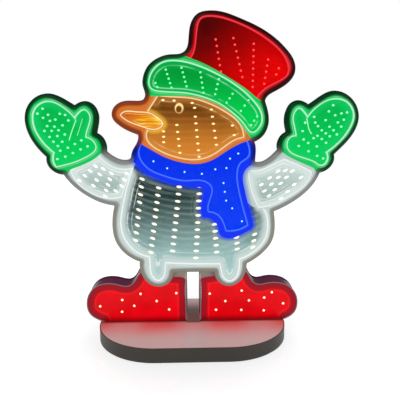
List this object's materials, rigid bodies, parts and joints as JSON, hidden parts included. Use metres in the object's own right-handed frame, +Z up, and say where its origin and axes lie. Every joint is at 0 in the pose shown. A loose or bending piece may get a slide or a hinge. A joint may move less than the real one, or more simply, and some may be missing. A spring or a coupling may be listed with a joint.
{
  "type": "snowman display light",
  "caption": "Flat snowman light box with coloured mirror lenses, standing on two boot light boxes and a racetrack plinth, with a hinged battery door and slide switch on its back.",
  "frame": {"origin": "middle of the plinth pad's underside, on the ground", "axes": "+Z up, +X towards the snowman's left-hand mitten (right-hand side seen from the front), front faces -Y"},
  "size_m": [0.5572, 0.217, 0.563],
  "materials": {
    "black_return": "black powder coat",
    "white_board": "foamed PVC board",
    "mirror": "silvered acrylic",
    "chip": "surface-mount diode",
    "trim": "tinted trim cap",
    "red_lens": "clear red acrylic",
    "green_lens": "clear green acrylic",
    "orange_lens": "clear orange acrylic",
    "blue_lens": "clear blue acrylic",
    "teal_lens": "clear smoky teal acrylic",
    "grey_lens": "clear pale grey acrylic",
    "nose_lens": "clear orange acrylic",
    "eye": "pale yellow acrylic",
    "boot_red": "clear red acrylic",
    "boot_wall": "dark plum acrylic",
    "boot_board": "plum PVC board",
    "steel": "zinc plated",
    "plinth_wall": "dark brown-grey, satin",
    "plinth_sheet": "polished pale acrylic",
    "pad": "EVA foam",
    "block": "beech",
    "case": "moulded ABS",
    "cell": "plain wrapped cells",
    "brass": "nickel-flashed spring brass",
    "knob": "moulded ABS",
    "board": "glass-fibre board",
    "lead": "PVC-covered twin lead"
  },
  "bodies": {
    "display": {"back_plate": "white_board", "back_screws": "steel", "battery_case": "case", "battery_contacts": "brass", "body_leds": "chip", "body_lens": "teal_lens", "body_return": "black_return", "boot_blocks": "block", "boot_mirrors": "mirror", "boot_pillars": "white_board", "boot_screws": "steel", "brim_leds": "chip", "brim_lens": "green_lens", "cells": "cell", "crown_leds": "chip", "crown_lens": "red_lens", "driver_board": "board", "eye_ring": "eye", "face_leds": "chip", "face_lens": "orange_lens", "face_trim": "trim", "head_return": "black_return", "hinge_pin": "steel", "left_arm_leds": "chip", "left_arm_lens": "grey_lens", "left_arm_return": "black_return", "left_boot_back": "boot_board", "left_boot_lead": "lead", "left_boot_leds": "chip", "left_boot_lens": "boot_red", "left_boot_return": "boot_wall", "left_mitten_leds": "chip", "left_mitten_lens": "green_lens", "leg_bolts": "steel", "leg_nuts": "steel", "leg_spacers": "white_board", "mirror_sheet": "mirror", "mirror_standoffs": "white_board", "nose_lens": "nose_lens", "plinth_body": "plinth_wall", "plinth_pad": "pad", "plinth_screws": "steel", "plinth_sheet": "plinth_sheet", "right_arm_leds": "chip", "right_arm_lens": "grey_lens", "right_arm_return": "black_return", "right_boot_back": "boot_board", "right_boot_lead": "lead", "right_boot_leds": "chip", "right_boot_lens": "boot_red", "right_boot_return": "boot_wall", "right_mitten_leds": "chip", "right_mitten_lens": "green_lens", "scarf_leds": "chip", "scarf_lens": "blue_lens", "switch_body": "case"},
    "door": {"battery_door": "case", "door_screw": "steel"},
    "switch": {"switch_slider": "knob"}
  },
  "joints": [
    {"name": "battery_door_hinge", "type": "hinge", "parent": "display", "child": "door", "pos_m": [-0.01, 0.0186, 0.2438], "axis": [1, 0, 0], "range_deg": [0, 110]},
    {"name": "power_switch_slide", "type": "slide", "parent": "display", "child": "switch", "axis": [1, 0, 0], "range_m": [-0.003, 0.003]}
  ]
}
